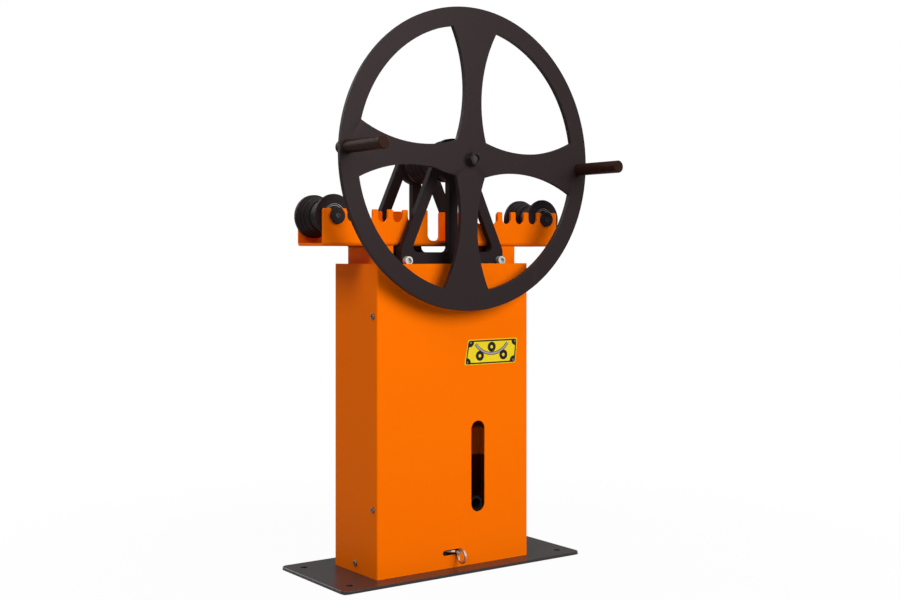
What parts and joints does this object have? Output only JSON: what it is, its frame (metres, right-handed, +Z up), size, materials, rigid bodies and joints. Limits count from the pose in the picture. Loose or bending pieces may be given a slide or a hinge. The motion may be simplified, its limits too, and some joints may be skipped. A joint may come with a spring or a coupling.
{
  "type": "ring roller",
  "caption": "Upright hand-cranked ring roller: a large handwheel turns the top roller, and a bottle jack lifts a notched beam with two side rollers to bend bar or tube into rings.",
  "frame": {"origin": "centre of the base plate's underside, on the floor", "axes": "+X to the operator's right along the notched beam, +Y from the handwheel side to the rear cover, +Z up"},
  "size_m": [0.6018, 0.382, 1.12],
  "materials": {
    "orange_paint": "smooth semi-gloss powder coat",
    "black_paint": "satin powder coat",
    "zinc_steel": "bright zinc plating",
    "bright_steel": "turned or ground bare steel",
    "dark_steel": "blackened turned steel",
    "nylon": "natural nylon",
    "badge_yellow": "printed aluminium plate"
  },
  "bodies": {
    "frame": {"base_plate": "black_paint", "casing_cover": "orange_paint", "rear_cover": "orange_paint", "cover_brackets": "black_paint", "cover_standoffs": "zinc_steel", "cover_screws": "zinc_steel", "badge_plate": "badge_yellow", "badge_rivets": "zinc_steel", "front_a_plate": "black_paint", "rear_a_plate": "black_paint", "a_plate_screws": "zinc_steel", "uprights": "black_paint", "guide_pads": "nylon", "shaft_outer_races": "bright_steel", "lower_spring_studs": "black_paint", "left_return_spring": "zinc_steel", "right_return_spring": "zinc_steel", "jack_base": "black_paint", "jack_screws": "zinc_steel", "jack_reservoir": "black_paint", "jack_cylinder": "bright_steel", "jack_top_cap": "black_paint", "pump_barrel": "bright_steel", "fulcrum_post": "black_paint", "fulcrum_pin": "zinc_steel", "valve_body": "black_paint"},
    "top_shaft": {"roller_shaft": "bright_steel", "shaft_keys": "bright_steel", "shaft_spacers": "zinc_steel", "shaft_inner_races": "bright_steel", "shaft_balls": "bright_steel", "top_sleeve": "dark_steel", "top_rings": "dark_steel", "wheel_hub": "black_paint", "handwheel": "black_paint", "wheel_handles": "black_paint", "wheel_washer": "black_paint", "wheel_nut": "black_paint"},
    "carriage": {"beam": "orange_paint", "left_column": "orange_paint", "right_column": "orange_paint", "crosshead": "orange_paint", "upper_spring_studs": "black_paint", "side_axles": "bright_steel", "axle_caps": "dark_steel", "axle_cap_screws": "dark_steel", "side_inner_races": "bright_steel", "side_balls": "bright_steel", "jack_ram": "bright_steel", "jack_saddle": "dark_steel"},
    "left_roller": {"left_roller_sleeve": "dark_steel", "left_roller_rings": "dark_steel", "left_outer_races": "bright_steel"},
    "right_roller": {"right_roller_sleeve": "dark_steel", "right_roller_rings": "dark_steel", "right_outer_races": "bright_steel"},
    "pump_fork": {"lever_socket": "black_paint"},
    "plunger": {"pump_plunger": "bright_steel"},
    "valve_lever": {"release_lever": "zinc_steel"},
    "valve_ring": {"pull_ring": "zinc_steel"}
  },
  "joints": [
    {"name": "wheel_turn", "type": "hinge", "parent": "frame", "child": "top_shaft", "pos_m": [0, 0, 0.82], "axis": [0, 1, 0], "continuous": true},
    {"name": "beam_lift", "type": "slide", "parent": "frame", "child": "carriage", "axis": [0, 0, 1], "range_m": [0, 0.075], "deforming": ["left_return_spring", "right_return_spring"]},
    {"name": "left_roller_turn", "type": "hinge", "parent": "carriage", "child": "left_roller", "pos_m": [-0.2585, 0, 0.706], "axis": [0, 1, 0], "continuous": true},
    {"name": "right_roller_turn", "type": "hinge", "parent": "carriage", "child": "right_roller", "pos_m": [0.2585, 0, 0.706], "axis": [0, 1, 0], "continuous": true},
    {"name": "pump_swing", "type": "hinge", "parent": "frame", "child": "pump_fork", "pos_m": [0.049, -0.027, 0.126], "axis": [-1, 0, 0], "range_deg": [0, 40]},
    {"name": "plunger_stroke", "type": "slide", "parent": "frame", "child": "plunger", "axis": [0, 0, 1], "range_m": [0, 0.0168]},
    {"name": "release_turn", "type": "hinge", "parent": "frame", "child": "valve_lever", "pos_m": [-0.03, -0.067, 0.0376], "axis": [0, 0, -1], "range_deg": [0, 48]},
    {"name": "ring_swing", "type": "hinge", "parent": "valve_lever", "child": "valve_ring", "pos_m": [-0.00454, -0.09246, 0.0376], "axis": [-1, 0, 0], "range_deg": [0, 50]}
  ],
  "couplings": [
    {"joint": "plunger_stroke", "follows": "pump_swing", "m_per_rad": 0.024}
  ]
}
